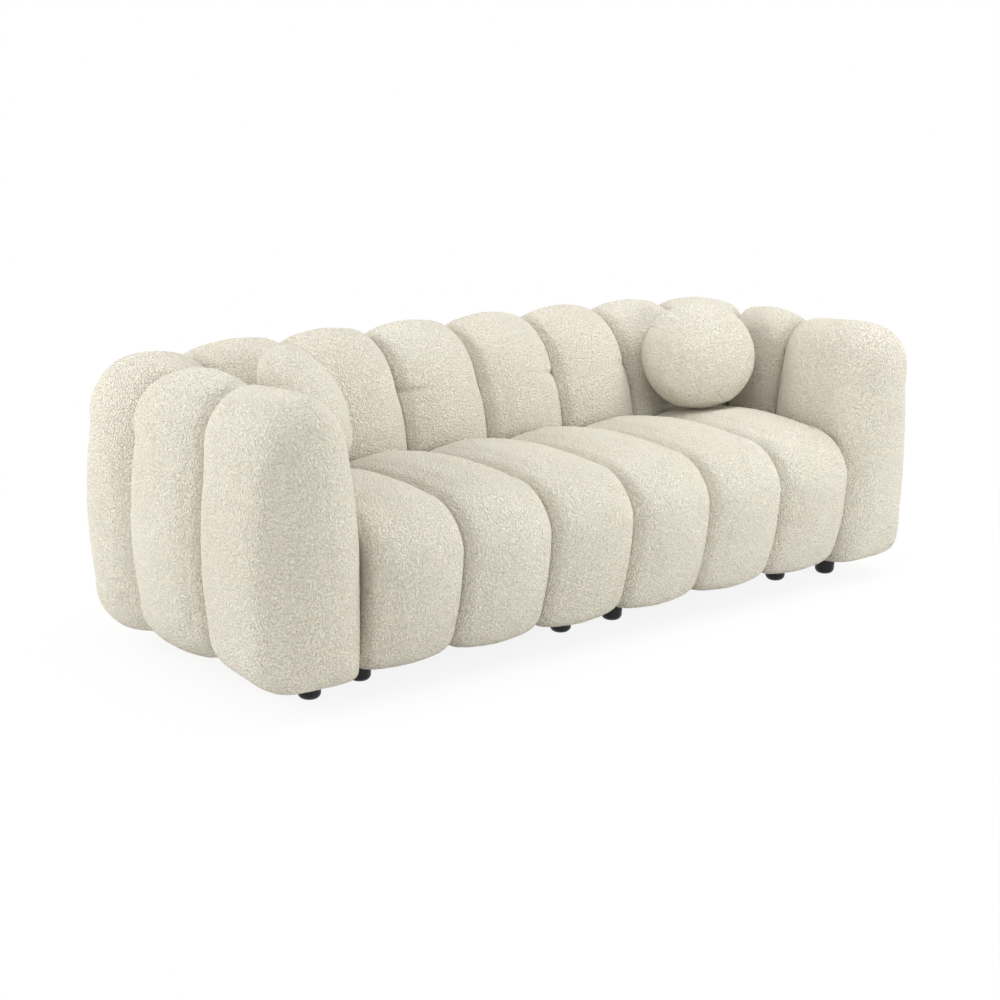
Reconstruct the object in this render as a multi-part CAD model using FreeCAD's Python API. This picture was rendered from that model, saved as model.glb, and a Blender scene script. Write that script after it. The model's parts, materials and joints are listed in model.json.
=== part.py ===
"""Three-seater sofa: padded channels wrap the back and arms, six more cross the seat.

Millimetres. X runs along the sofa, -Y is the front, +Z is up, and the origin is on the
floor under the middle. The right half is modelled and the left half is its mirror image.
"""
import FreeCAD
import Part

import math
import os

from FreeCAD import Vector

# Overall sizes
overall_depth = 960.0
arm_height = 752.0
back_rise_above_arm = 10.0
corner_drop = 13.0
underside_height = 56.0

# Seat channels
seat_channel_pitch = 280.0
seat_channels_per_side = 3
seat_crown_height = 481.0
seat_back_height = 455.0
seat_crest_depth = 326.0
seat_round_depth = 146.0
seat_round_drop = 16.0
seat_nose_depth = 36.0
seat_nose_drop = 66.0
seat_front_drop = 146.0
seat_front_lean = 38.0
seat_skirt_height = 54.0
seat_skirt_depth = 54.0
seat_groove_depth = 43.0

# Wall of the arms and back: its plan
arm_thickness = 283.0
back_thickness = 378.0
arm_front_setback = 8.0
arm_seam_offset = 348.0
arm_nose_length = 100.0
arm_nose_inset = 80.0
outer_corner_radius = 160.0
inner_corner_radius = 60.0
corner_seam_back = 104.0
corner_seam_arm = 110.0
corner_seam_inner = 35.0

# Wall of the arms and back: its upright outline
wall_groove_depth = 47.0
back_recline = 85.0
arm_recline = 40.0
inner_straight_margin = 25.0
inner_bow_drop = 187.0
inner_bow_share = 0.4
inner_shoulder_drop = 83.0
inner_dome_drop = 24.0
back_crest_share = 0.58
arm_crest_share = 0.48
outer_dome_drop = 52.0
corner_dome_rise = 22.0
outer_dome_share = 0.36
outer_shoulder_drop = 171.0
outer_shoulder_inset = 16.0
outer_belly_drop = 355.0
outer_skirt_height = 109.0
outer_skirt_inset = 16.0
outer_roll_height = 36.0
outer_roll_inset = 36.0
outer_low_inset = 76.0
arm_front_taper_share = 0.5

# Shares of the groove depth by which a seam draws in each part of an outline
low_lift = 0.5
shoulder_draw = 0.8
shoulder_sink = 0.6
inner_dome_draw = 0.4
inner_dome_sink = 0.9
outer_dome_draw = 0.5
outer_dome_sink = 0.8
outer_shoulder_sink = 0.3
roll_lift = 0.3
low_draw = 0.8
seat_round_draw = 0.5
seat_round_sink = 0.8
seat_nose_sink = 0.5
corner_blend = 0.15

# Ball cushions
cushion_radius = 165.0
cushion_half_thickness = 90.0
cushion_edge_radius = 64.0
cushion_cover_thickness = 4.0
cushion_from_arm = 145.0
cushion_facing = Vector(-0.6, -0.6, 0.5)

# Timber and boards
rail_thickness = 24.0
rail_height = 174.0
board_thickness = 18.0
post_width = 45.0
middle_board_rise = 324.0
top_board_drop = 118.0
frame_inset_inside = 52.0
frame_inset_outside = 118.0
upper_padding = 42.0
frame_front_setback = 132.0
post_reveal = 10.0
batten_height = 40.0
tuft_drop = 170.0

# Seat platform
strap_width = 60.0
strap_thickness = 2.0
straps_per_side = 6
cross_straps = 3
seat_top_padding = 83.0
seat_front_padding = 170.0
corner_plate_size = 140.0
middle_rail_drop = 45.0
dust_cover_thickness = 1.0

# Feet
foot_top_radius = 31.0
foot_waist_radius = 28.0
foot_base_radius = 17.0
foot_round_height = 18.0
foot_round_bow = 0.7
front_foot_inset = 26.5
front_foot_setback = 30.0
corner_foot_inset = 38.0
corner_foot_depth = 72.0
middle_foot_inset = 62.0
seat_foot_inset_x = 92.5
seat_foot_inset_y = 14.0

# Fasteners
stud_radius = 4.0
stud_grip = 30.0
stud_reach = 4.0
tee_nut_flange_radius = 11.0
tee_nut_flange = 1.5
tee_nut_barrel_radius = 5.0
tee_nut_barrel = 12.0
plate_length = 124.0
plate_width = 40.0
plate_thickness = 3.0
arm_plate_setback = 144.0
arm_plate_pitch = 190.0
back_plate_offset = 240.0
back_plate_pitch = 360.0
screw_radius = 2.0
screw_head_radius = 4.0
screw_head = 2.5
screw_length = 16.0
bolt_radius = 4.0
bolt_head_radius = 7.5
bolt_head = 5.0
bolt_end = 3.0
nut_radius = 7.5
nut_height = 6.5
wall_bolt_rise = 94.0
wall_bolt_pitch = 150.0
seat_bolt_setback = 100.0
tie_radius = 1.5
knot_radius = 4.0

# Clearances
side_clearance = 3.0
seam_gap = 0.4
underside_gap = 1.6
fit_gap = 0.3
thread_gap = 0.2
half_joint_gap = 0.5
overcut = 1.0

# Lines of the seat and wall, worked out from the sizes above
back_height = arm_height + back_rise_above_arm
seat_end = seat_channel_pitch * seat_channels_per_side
seat_front_y = -overall_depth / 2
back_outer_y = overall_depth / 2
back_inner_y = back_outer_y - back_thickness
seat_rear_y = back_inner_y - side_clearance
arm_inner_x = seat_end + side_clearance
arm_outer_x = arm_inner_x + arm_thickness
arm_front_y = seat_front_y + arm_front_setback
arm_seam_y = arm_front_y + arm_seam_offset

# Lines of the frames
board_top = underside_height + board_thickness
middle_board_top = underside_height + middle_board_rise
top_board_top = arm_height - top_board_drop
tuft_height = back_height - tuft_drop
seat_frame_front = seat_front_y + seat_front_padding
seat_frame_end = seat_end - side_clearance
rail_top = underside_height + rail_height
foam_bottom = rail_top + 2 * strap_thickness
foam_top = seat_crown_height - seat_top_padding
wall_frame_front = arm_front_y + frame_front_setback

# Plan lines of the wall frame, each as X line, Y line and corner radius
lower_inner = (arm_inner_x + frame_inset_inside, back_inner_y + frame_inset_inside, inner_corner_radius)
upper_inner = (
    arm_inner_x + arm_recline + upper_padding,
    back_inner_y + back_recline + upper_padding,
    inner_corner_radius,
)
frame_outer = (
    arm_outer_x - frame_inset_outside,
    back_outer_y - frame_inset_outside,
    outer_corner_radius - frame_inset_outside,
)

# Feet of the right half in plan
wall_front_foot = (lower_inner[0] + front_foot_inset, wall_frame_front + front_foot_setback)
wall_rear_feet = [
    (lower_inner[0] + corner_foot_inset, lower_inner[1] + corner_foot_depth),
    (middle_foot_inset, (lower_inner[1] + frame_outer[1]) / 2),
]
seat_feet_front = [
    (x, seat_frame_front + rail_thickness + seat_foot_inset_y)
    for x in (seat_foot_inset_x, seat_end - seat_foot_inset_x)
]
seat_feet_rear = [
    (x, seat_rear_y - rail_thickness - seat_foot_inset_y)
    for x in (seat_foot_inset_x, seat_end - seat_foot_inset_x)
]

UP = Vector(0, 0, 1)
ALONG = Vector(1, 0, 0)
DEEP = Vector(0, 1, 0)


def box(x0, x1, y0, y1, z0, z1):
    """Block between two corners."""
    return Part.makeBox(x1 - x0, y1 - y0, z1 - z0, Vector(x0, y0, z0))


def rod(radius, length, start, axis=UP):
    """Round bar from a start point along an axis."""
    return Part.makeCylinder(radius, length, start, axis)


def cut_all(shape, tools):
    """The shape less every tool that is given."""
    return shape.cut(Part.makeCompound(tools))


def line(a, b):
    return Part.makeLine(a, b)


def arc(a, via, b):
    return Part.Arc(a, via, b).toShape()


def between(a, b, share):
    return a + (b - a) * share


def corner_path(distance, x_line, y_line, radius):
    """Point on a plan path that runs along the back, round the corner and down the arm."""
    straight = x_line - radius
    bend = radius * math.pi / 2
    if distance <= straight:
        return Vector(distance, y_line, 0)
    if distance <= straight + bend:
        angle = (distance - straight) / radius
        return Vector(straight + radius * math.sin(angle), y_line - radius + radius * math.cos(angle), 0)
    return Vector(x_line, y_line - radius - (distance - straight - bend), 0)


def inner_point(distance):
    return corner_path(distance, arm_inner_x, back_inner_y, inner_corner_radius)


def outer_point(distance):
    return corner_path(distance, arm_outer_x, back_outer_y, outer_corner_radius)


def wall_section(inside, outside, inset, arm_share, taper=1.0):
    """Upright outline of the padded wall between its inside and outside lines in plan.

    The inset draws the outline in towards a seam, the arm share blends from the back's
    form to the arm's, and the taper sets how far the outside tucks in near the floor.
    """
    width = (outside - inside).Length
    across = (outside - inside) / width
    recline = between(back_recline, arm_recline, arm_share)
    corner_share = math.sin(math.pi * arm_share)
    height = between(back_height, arm_height, arm_share) - corner_drop * corner_share
    dome_drop = outer_dome_drop - corner_dome_rise * corner_share
    crest = between(back_crest_share, arm_crest_share, arm_share) * width
    low = underside_height + underside_gap + low_lift * inset

    def inner(depth, z):
        return inside + across * depth + UP * z

    def outer(depth, z):
        return outside - across * depth + UP * z

    inner_low = inner(inset, low)
    inner_seat = inner(inset, seat_back_height - inner_straight_margin)
    inner_bow = inner(inset + inner_bow_share * recline, height - inner_bow_drop)
    inner_shoulder = inner(
        recline + shoulder_draw * inset,
        height - inner_shoulder_drop - shoulder_sink * inset)
    inner_dome = inner(
        (recline + crest) / 2 + inner_dome_draw * inset,
        height - inner_dome_drop - inner_dome_sink * inset)
    crown = inner(crest, height - inset)
    outer_dome = outer(
        outer_dome_share * (width - crest) + outer_dome_draw * inset,
        height - dome_drop - outer_dome_sink * inset)
    outer_shoulder = outer(
        outer_shoulder_inset + inset, height - outer_shoulder_drop - outer_shoulder_sink * inset)
    outer_belly = outer(inset, height - outer_belly_drop)
    outer_skirt = outer(taper * outer_skirt_inset + inset, underside_height + outer_skirt_height)
    outer_roll = outer(
        taper * outer_roll_inset + inset, underside_height + outer_roll_height + roll_lift * inset)
    outer_low = outer(taper * outer_low_inset + low_draw * inset, low)
    return Part.Wire([
        line(inner_low, inner_seat),
        arc(inner_seat, inner_bow, inner_shoulder),
        arc(inner_shoulder, inner_dome, crown),
        arc(crown, outer_dome, outer_shoulder),
        arc(outer_shoulder, outer_belly, outer_skirt),
        arc(outer_skirt, outer_roll, outer_low),
        line(outer_low, inner_low),
    ])


def bulge_stations(groove, steps=6):
    """Shares along a channel and how far its outline is drawn in there, seam to seam."""
    angles = [math.pi * k / steps for k in range(steps + 1)]
    return [((1 - math.cos(a)) / 2, groove * (1 - math.sin(a))) for a in angles]


def wall_channel(inner_span, outer_span, arm_span):
    """One padded channel of the wall between two sewn seams."""
    wires = []
    for share, inset in bulge_stations(wall_groove_depth):
        inside = inner_point(between(*inner_span, share))
        outside = outer_point(between(*outer_span, share))
        wires.append(wall_section(inside, outside, inset, between(*arm_span, share)))
    return Part.makeLoft(wires, True, False)


def arm_front_channel():
    """The rounded channel that ends the arm at the front."""
    nose_start = arm_front_y + arm_nose_length
    run = arm_seam_y - seam_gap / 2 - nose_start
    half_bulge = [s for s in bulge_stations(wall_groove_depth) if s[0] <= 0.5]
    stations = [(nose_start + run * (1 - share), inset, 1.0 - share) for share, inset in half_bulge]
    stations.append((nose_start, 0.0, 0.0))
    for degrees in (30, 60, 78, 90):
        angle = math.radians(degrees)
        y = nose_start - arm_nose_length * math.sin(angle)
        stations.append((y, arm_nose_inset * (1 - math.cos(angle)), 0.0))
    wires = []
    for y, inset, rear_share in stations:
        taper = between(arm_front_taper_share, 1.0, rear_share)
        wires.append(wall_section(Vector(arm_inner_x, y, 0), Vector(arm_outer_x, y, 0), inset, 1.0, taper))
    return Part.makeLoft(wires, True, False)


def wall_channels():
    """Right half of the wall: three back channels, the corner, and two on the arm."""
    gap = seam_gap / 2
    inner_bend = inner_corner_radius * math.pi / 2
    outer_bend = outer_corner_radius * math.pi / 2
    inner_straight = arm_inner_x - inner_corner_radius
    outer_straight = arm_outer_x - outer_corner_radius
    corner_start = (inner_straight + corner_seam_inner, outer_straight - corner_seam_back)
    corner_end = (inner_straight + inner_bend, outer_straight + outer_bend + corner_seam_arm)
    arm_end = (
        inner_straight + inner_bend + back_inner_y - inner_corner_radius - arm_seam_y,
        outer_straight + outer_bend + back_outer_y - outer_corner_radius - arm_seam_y,
    )
    seams = [(k * seat_channel_pitch, k * seat_channel_pitch) for k in range(seat_channels_per_side)]
    seams += [corner_start, corner_end, arm_end]
    arm_shares = [0.0] * seat_channels_per_side + [corner_blend, 1.0 - corner_blend, 1.0]
    names = [f"back_channel_{k + 1}" for k in range(seat_channels_per_side)]
    names += ["corner_channel", "arm_channel"]
    channels = {}
    for k, name in enumerate(names):
        (inner_a, outer_a), (inner_b, outer_b) = seams[k], seams[k + 1]
        inner_span = (inner_a + gap, inner_b - gap)
        outer_span = (outer_a + gap, outer_b - gap)
        channels[name] = wall_channel(inner_span, outer_span, (arm_shares[k], arm_shares[k + 1]))
    channels["arm_front_channel"] = arm_front_channel()
    return channels


def seat_section(x, inset):
    """Outline of a seat channel from the back, over the top and down the front."""
    front = seat_front_y + inset
    low = underside_height + underside_gap + low_lift * inset
    front_upper_z = seat_crown_height - seat_front_drop
    skirt_z = underside_height + seat_skirt_height
    skirt_y = front + seat_front_lean

    def point(y, z):
        return Vector(x, y, z)

    rear_top = point(seat_rear_y, seat_back_height - inset)
    crest = point(seat_front_y + seat_crest_depth, seat_crown_height - inset)
    top_front = point(
        seat_front_y + seat_round_depth + seat_round_draw * inset,
        seat_crown_height - seat_round_drop - seat_round_sink * inset)
    nose = point(front + seat_nose_depth, seat_crown_height - seat_nose_drop - seat_nose_sink * inset)
    front_upper = point(front, front_upper_z)
    front_middle = point(front + seat_front_lean / 4, (front_upper_z + skirt_z) / 2)
    front_lower = point(skirt_y, skirt_z)
    roll = point(skirt_y + seat_skirt_depth / 3, between(skirt_z, low, 0.6))
    front_low = point(skirt_y + seat_skirt_depth, low)
    rear_low = point(seat_rear_y, low)
    return Part.Wire([
        arc(rear_top, crest, top_front),
        arc(top_front, nose, front_upper),
        arc(front_upper, front_middle, front_lower),
        arc(front_lower, roll, front_low),
        line(front_low, rear_low),
        line(rear_low, rear_top),
    ])


def rounded_plan(x_line, y_line, radius, front_y, start_x):
    """Edges along the back line, round the corner and down to the front line."""
    straight = x_line - radius
    middle = math.sqrt(0.5) * radius
    start = Vector(start_x, y_line, 0)
    bend_start = Vector(straight, y_line, 0)
    bend_middle = Vector(straight + middle, y_line - radius + middle, 0)
    bend_end = Vector(x_line, y_line - radius, 0)
    end = Vector(x_line, front_y, 0)
    return [line(start, bend_start), arc(bend_start, bend_middle, bend_end), line(bend_end, end)]


def seat_space():
    """Block that the seat may fill inside the arms and back."""
    front_y = seat_front_y - overcut
    edges = rounded_plan(seat_end, seat_rear_y, inner_corner_radius, front_y, 0.0)
    edges.append(line(Vector(seat_end, front_y, 0), Vector(0, front_y, 0)))
    edges.append(line(Vector(0, front_y, 0), Vector(0, seat_rear_y, 0)))
    return Part.Face(Part.Wire(edges)).extrude(UP * arm_height)


def seat_channels():
    """Right half of the seat: padded channels over the foam and down the front."""
    front_y = seat_frame_front - fit_gap
    cavity = box(-overcut, seat_end + overcut, front_y, back_inner_y, 0, foam_top + fit_gap)
    space = seat_space()
    channels = {}
    for k in range(seat_channels_per_side):
        start = k * seat_channel_pitch + seam_gap / 2
        length = seat_channel_pitch - seam_gap
        stations = bulge_stations(seat_groove_depth)
        wires = [seat_section(start + length * share, inset) for share, inset in stations]
        channel = Part.makeLoft(wires, True, False).cut(cavity).common(space)
        channels[f"seat_channel_{k + 1}"] = channel
    return channels


def band(inner, outer, z0, z1, grow=0.0):
    """Board or hollow between two plan lines of the wall frame, grown by a clearance."""
    inner_x, inner_y, inner_r = inner
    outer_x, outer_y, outer_r = outer
    front_y = wall_frame_front - grow
    start_x = half_joint_gap if grow == 0 else -overcut
    inside = rounded_plan(inner_x - grow, inner_y - grow, inner_r, front_y, start_x)
    outside = rounded_plan(outer_x + grow, outer_y + grow, outer_r, front_y, start_x)
    front = line(inside[-1].Vertexes[-1].Point, outside[-1].Vertexes[-1].Point)
    back = line(outside[0].Vertexes[0].Point, inside[0].Vertexes[0].Point)
    face = Part.Face(Part.Wire(Part.__sortEdges__(inside + outside + [front, back])))
    face.translate(UP * (z0 - grow))
    return face.extrude(UP * (z1 - z0 + 2 * grow))


def wall_hollow():
    """Room inside the padded wall for its timber frame, open underneath."""
    lower = band(lower_inner, frame_outer, underside_height - overcut, middle_board_top, fit_gap)
    upper = band(upper_inner, frame_outer, middle_board_top, top_board_top, fit_gap)
    return [lower, upper]


def post_places(inner):
    """Plan boxes of the posts: at the joint, behind each back channel, and along the arm."""
    inner_x, inner_y, _ = inner
    outer_x, outer_y, _ = frame_outer
    y0, y1 = inner_y + post_reveal, outer_y - post_reveal
    x0, x1 = inner_x + post_reveal, outer_x - post_reveal
    front_y = wall_frame_front + post_reveal
    rear_y = inner_y - inner_corner_radius - post_width
    front_x0 = wall_front_foot[0] + tee_nut_flange_radius + overcut
    places = [(half_joint_gap, half_joint_gap + rail_thickness, y0, y1)]
    for k in range(seat_channels_per_side):
        middle = (k + 0.5) * seat_channel_pitch
        places.append((middle - post_width / 2, middle + post_width / 2, y0, y1))
    for y in (rear_y, (rear_y + front_y) / 2):
        places.append((x0, x1, y, y + post_width))
    places.append((front_x0, x1, front_y, front_y + post_width))
    return places


def posts(inner, z0, z1):
    return [box(*place, z0, z1) for place in post_places(inner)]


def upright_rods(places, z0, z1, radius):
    return [rod(radius, z1 - z0, Vector(x, y, z0)) for x, y in places]


def plate_places():
    """Centre and direction of the plates that join seat and wall underneath."""
    reach = plate_length / 2 - rail_thickness / 2
    places = []
    for k in range(2):
        arm_y = seat_frame_front + arm_plate_setback + k * arm_plate_pitch
        back_x = back_plate_offset + k * back_plate_pitch
        places.append((Vector(seat_frame_end + reach, arm_y, 0), ALONG))
        places.append((Vector(back_x, seat_rear_y + reach, 0), DEEP))
    return places


def screw_places():
    """Four screws in each plate: two in the seat's rail, two in the wall's board."""
    places = []
    for centre, way in plate_places():
        side = UP.cross(way)
        for reach in (rail_thickness / 4 - plate_length / 2, plate_length / 2 - 3 * screw_head_radius):
            for shift in (-plate_width / 4, plate_width / 4):
                places.append(centre + way * reach + side * shift)
    return places


def screw_holes():
    """Pilot holes for the plate screws, from under the plates up past the screws' tips."""
    start = UP * (underside_height - plate_thickness - overcut)
    length = screw_length + 2 * overcut
    return [rod(screw_radius + thread_gap, length, place + start) for place in screw_places()]


def joining_plates():
    """Flat steel plates under the sofa, drilled for their screws."""
    plates = []
    for centre, way in plate_places():
        half_x = plate_length / 2 if way == ALONG else plate_width / 2
        half_y = plate_width / 2 if way == ALONG else plate_length / 2
        plate = box(centre.x - half_x, centre.x + half_x, centre.y - half_y, centre.y + half_y,
                    underside_height - plate_thickness, underside_height)
        plates.append(cut_all(plate, screw_holes()))
    return plates


def plate_screws():
    """Round-headed screws, each with its head under a plate."""
    face_z = underside_height - plate_thickness
    screws = []
    for place in screw_places():
        head = rod(screw_head_radius, screw_head, place + UP * (face_z - screw_head))
        screws.append(head.fuse(rod(screw_radius, screw_length, place + UP * face_z)).removeSplitter())
    return screws


def centre_bolt_places():
    """Depth and height of the bolts across the middle joint: two in the wall, two in the seat."""
    wall_y = (lower_inner[1] + frame_outer[1]) / 2
    wall_z = underside_height + wall_bolt_rise
    seat_z = underside_height + rail_height / 2
    return [
        (wall_y, wall_z),
        (wall_y, wall_z + wall_bolt_pitch),
        (seat_frame_front + seat_bolt_setback, seat_z),
        (seat_rear_y - seat_bolt_setback, seat_z),
    ]


joint_face = half_joint_gap + rail_thickness


def bolt_holes():
    reach = joint_face + overcut
    radius = bolt_radius + thread_gap
    return [rod(radius, 2 * reach, Vector(-reach, y, z), ALONG) for y, z in centre_bolt_places()]


def centre_bolts():
    """Bolts through the two middle posts and the two middle rails."""
    length = 2 * joint_face + nut_height + bolt_end
    bolts = []
    for y, z in centre_bolt_places():
        head = rod(bolt_head_radius, bolt_head, Vector(joint_face, y, z), ALONG)
        shank = rod(bolt_radius, length, Vector(joint_face - length, y, z), ALONG)
        bolts.append(head.fuse(shank).removeSplitter())
    return bolts


def centre_nuts():
    """Hexagon nuts on the left ends of the middle bolts."""
    nuts = []
    for y, z in centre_bolt_places():
        corners = []
        for k in range(7):
            angle = math.radians(60 * k)
            rise = Vector(0, math.cos(angle), math.sin(angle)) * nut_radius
            corners.append(Vector(-joint_face, y, z) + rise)
        hexagon = Part.Face(Part.makePolygon(corners)).extrude(ALONG * -nut_height)
        bore_start = Vector(-joint_face - nut_height - overcut, y, z)
        bore = rod(bolt_radius + thread_gap, nut_height + 2 * overcut, bore_start, ALONG)
        nuts.append(hexagon.cut(bore))
    return nuts


def tuft_places():
    """X of the back seams whose cover is pulled in by a tie."""
    return [k * seat_channel_pitch for k in range(seat_channels_per_side)]


batten_rear_y = upper_inner[1] + post_reveal
tie_front_y = back_inner_y + wall_groove_depth + back_recline / 2
knot_y = batten_rear_y + knot_radius + fit_gap


def tie_bore(x, radius, start_y, end_y):
    return rod(radius, end_y - start_y, Vector(x, start_y, tuft_height), DEEP)


def tie_holes(start_y, end_y):
    return [tie_bore(x, tie_radius + thread_gap, start_y, end_y) for x in tuft_places()]


def tuft_batten():
    """Rail behind the back padding that holds the tuft ties, fixed to the posts."""
    batten = box(half_joint_gap, upper_inner[0] - inner_corner_radius, upper_inner[1], batten_rear_y,
                 tuft_height - batten_height / 2, tuft_height + batten_height / 2)
    return cut_all(batten, tie_holes(upper_inner[1] - overcut, batten_rear_y + overcut))


def tuft_tie(x):
    """Twine from the seam to a knot behind the batten."""
    twine = tie_bore(x, tie_radius, tie_front_y, knot_y)
    knot = Part.makeSphere(knot_radius, Vector(x, knot_y, tuft_height))
    return twine.fuse(knot).removeSplitter()


def wall_frame():
    """Boards, posts and batten inside the right half of the wall."""
    feet = [wall_front_foot] + wall_rear_feet
    barrel_room = tee_nut_barrel_radius + thread_gap
    barrels = upright_rods(feet, underside_height - overcut, board_top + overcut, barrel_room)
    middle_under = middle_board_top - board_thickness
    top_under = top_board_top - board_thickness
    base = band(lower_inner, frame_outer, underside_height, board_top)
    lower_posts = posts(lower_inner, board_top, middle_under)
    upper_posts = posts(upper_inner, middle_board_top, top_under)
    knot_room = tie_bore(0.0, knot_radius + fit_gap, batten_rear_y - overcut, knot_y + 2 * knot_radius)
    lower_posts[0] = cut_all(lower_posts[0], bolt_holes())
    upper_posts[0] = cut_all(upper_posts[0], [knot_room])
    return {
        "wall_base_board": [cut_all(base, barrels + screw_holes())],
        "wall_middle_board": [band(lower_inner, frame_outer, middle_under, middle_board_top)],
        "wall_top_board": [band(upper_inner, frame_outer, top_under, top_board_top)],
        "wall_lower_posts": lower_posts,
        "wall_upper_posts": upper_posts,
        "tuft_batten": [tuft_batten()],
    }


def seat_frame():
    """Rails, corner plates, webbing, foam and dust cover of the right half of the seat."""
    x0, x1 = half_joint_gap, seat_frame_end
    y0, y1 = seat_frame_front, seat_rear_y
    z0, z1 = underside_height, rail_top
    inner_x0, inner_x1 = x0 + rail_thickness, x1 - rail_thickness
    inner_y0, inner_y1 = y0 + rail_thickness, y1 - rail_thickness
    middle = (x0 + x1 - rail_thickness) / 2
    feet = seat_feet_front + seat_feet_rear
    barrels = upright_rods(feet, z0 - overcut, board_top + overcut, tee_nut_barrel_radius + thread_gap)
    cover_z = z0 - dust_cover_thickness
    foot_holes = upright_rods(feet, cover_z - overcut, z0 + overcut, foot_top_radius + fit_gap)
    cross_rails = [
        cut_all(box(x0, inner_x0, inner_y0, inner_y1, z0, z1), bolt_holes()),
        box(middle, middle + rail_thickness, inner_y0, inner_y1, z0, z1 - middle_rail_drop),
        cut_all(box(inner_x1, x1, inner_y0, inner_y1, z0, z1).common(seat_space()), screw_holes()),
    ]
    corner_plates = []
    for px in (inner_x0, inner_x1 - corner_plate_size):
        for py in (inner_y0, inner_y1 - corner_plate_size):
            plate = box(px, px + corner_plate_size, py, py + corner_plate_size, z0, board_top)
            corner_plates.append(cut_all(plate, barrels))
    rear_rail = box(x0, x1, inner_y1, y1, z0, z1).common(seat_space())
    foam = box(x0, x1, y0, y1, foam_bottom, foam_top).common(seat_space())
    cover = box(inner_x0, inner_x1, y0, inner_y1, cover_z, z0)
    return {
        "seat_front_rail": [box(x0, x1, y0, inner_y0, z0, z1)],
        "seat_rear_rail": [cut_all(rear_rail, screw_holes())],
        "seat_cross_rails": cross_rails,
        "seat_corner_plates": corner_plates,
        "seat_webbing": webbing(x0, x1, y0, y1),
        "seat_foam_core": [foam],
        "seat_dust_cover": [cut_all(cover, foot_holes)],
    }


def webbing(x0, x1, y0, y1):
    """Elastic straps from front to rear rail, with straps across on top."""
    straps = []
    pitch = (x1 - x0) / straps_per_side
    for k in range(straps_per_side):
        left = x0 + pitch * (k + 0.5) - strap_width / 2
        straps.append(box(left, left + strap_width, y0, y1, rail_top, rail_top + strap_thickness))
    rise = (y1 - y0) / cross_straps
    for k in range(cross_straps):
        front = y0 + rise * (k + 0.5) - strap_width / 2
        straps.append(box(x0, x1, front, front + strap_width, rail_top + strap_thickness, foam_bottom))
    return straps


def foot(place):
    """Round foot with a drawn-in base and a blind hole for its stud."""
    base_edge = Vector(foot_base_radius, 0, 0)
    waist = Vector(foot_waist_radius, 0, foot_round_height)
    round_middle = Vector(
        between(foot_base_radius, foot_waist_radius, foot_round_bow), 0,
        foot_round_height * (1 - foot_round_bow))
    top_edge = Vector(foot_top_radius, 0, underside_height)
    top_centre = Vector(0, 0, underside_height)
    base_centre = Vector(0, 0, 0)
    outline = Part.Wire([
        line(base_centre, base_edge),
        arc(base_edge, round_middle, waist),
        line(waist, top_edge),
        line(top_edge, top_centre),
        line(top_centre, base_centre),
    ])
    solid = Part.Face(outline).revolve(base_centre, UP, 360)
    hole = rod(stud_radius + thread_gap, stud_grip + overcut, Vector(0, 0, underside_height - stud_grip))
    solid = solid.cut(hole)
    solid.translate(Vector(*place, 0))
    return solid


def foot_stud(place):
    """Threaded stud from inside the foot to just above the board."""
    start = Vector(*place, underside_height - stud_grip)
    return rod(stud_radius, stud_grip + board_thickness + stud_reach, start)


def tee_nut(place):
    """Flange on top of the board and a barrel down into it, bored for the stud."""
    flange = rod(tee_nut_flange_radius, tee_nut_flange, Vector(*place, board_top))
    barrel = rod(tee_nut_barrel_radius, tee_nut_barrel, Vector(*place, board_top - tee_nut_barrel))
    bore_start = Vector(*place, board_top - tee_nut_barrel - overcut)
    bore = rod(stud_radius + thread_gap, tee_nut_barrel + tee_nut_flange + 2 * overcut, bore_start)
    return flange.fuse(barrel).removeSplitter().cut(bore)


def flat_ball(inset):
    """Flattened ball at the origin, short axis along Z: two shallow caps and a rounded edge."""
    half = cushion_half_thickness - inset
    edge_radius = cushion_edge_radius - inset
    edge_centre = cushion_radius - cushion_edge_radius
    cap_radius = (half ** 2 + edge_centre ** 2 - edge_radius ** 2) / (2 * (half - edge_radius))
    meeting = math.atan2(cap_radius - half, edge_centre)

    def cap(angle, side):
        rise = cap_radius * math.sin(angle) - cap_radius + half
        return Vector(cap_radius * math.cos(angle), 0, side * rise)

    top, bottom = Vector(0, 0, half), Vector(0, 0, -half)
    upper, lower = cap(meeting, 1), cap(meeting, -1)
    half_way = (meeting + math.pi / 2) / 2
    outline = Part.Wire([
        arc(bottom, cap(half_way, -1), lower),
        arc(lower, Vector(edge_centre + edge_radius, 0, 0), upper),
        arc(upper, cap(half_way, 1), top),
        line(top, bottom),
    ])
    return Part.Face(outline).revolve(Vector(0, 0, 0), UP, 360)


def placed(shape, placement):
    shape.Placement = placement
    return shape


def settle(shape, carrier, way, tries=6):
    """Moves a shape along a way until it is a fit gap from what carries it."""
    for _ in range(tries):
        gap = shape.distToShape(carrier)[0]
        shape.translate(way / way.Length * (gap - fit_gap))


def ball_cushion(seat, wall):
    """Cover and filling of the round cushion that lies on the seat and leans in the corner."""
    start = Vector(
        arm_inner_x - cushion_from_arm, back_inner_y - cushion_radius, seat_crown_height + cushion_radius)
    outer = placed(flat_ball(0.0), FreeCAD.Placement(start, FreeCAD.Rotation(UP, cushion_facing)))
    down_the_back = Vector(0, -back_recline, -inner_bow_drop)
    for carrier, way in ((wall, DEEP), (seat, down_the_back), (wall, DEEP)):
        settle(outer, carrier, way)
    cover = outer.cut(placed(flat_ball(cushion_cover_thickness), outer.Placement))
    filling = placed(flat_ball(cushion_cover_thickness + fit_gap), outer.Placement)
    return {"ball_cushion_cover": [cover], "ball_cushion_filling": [filling]}


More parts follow.
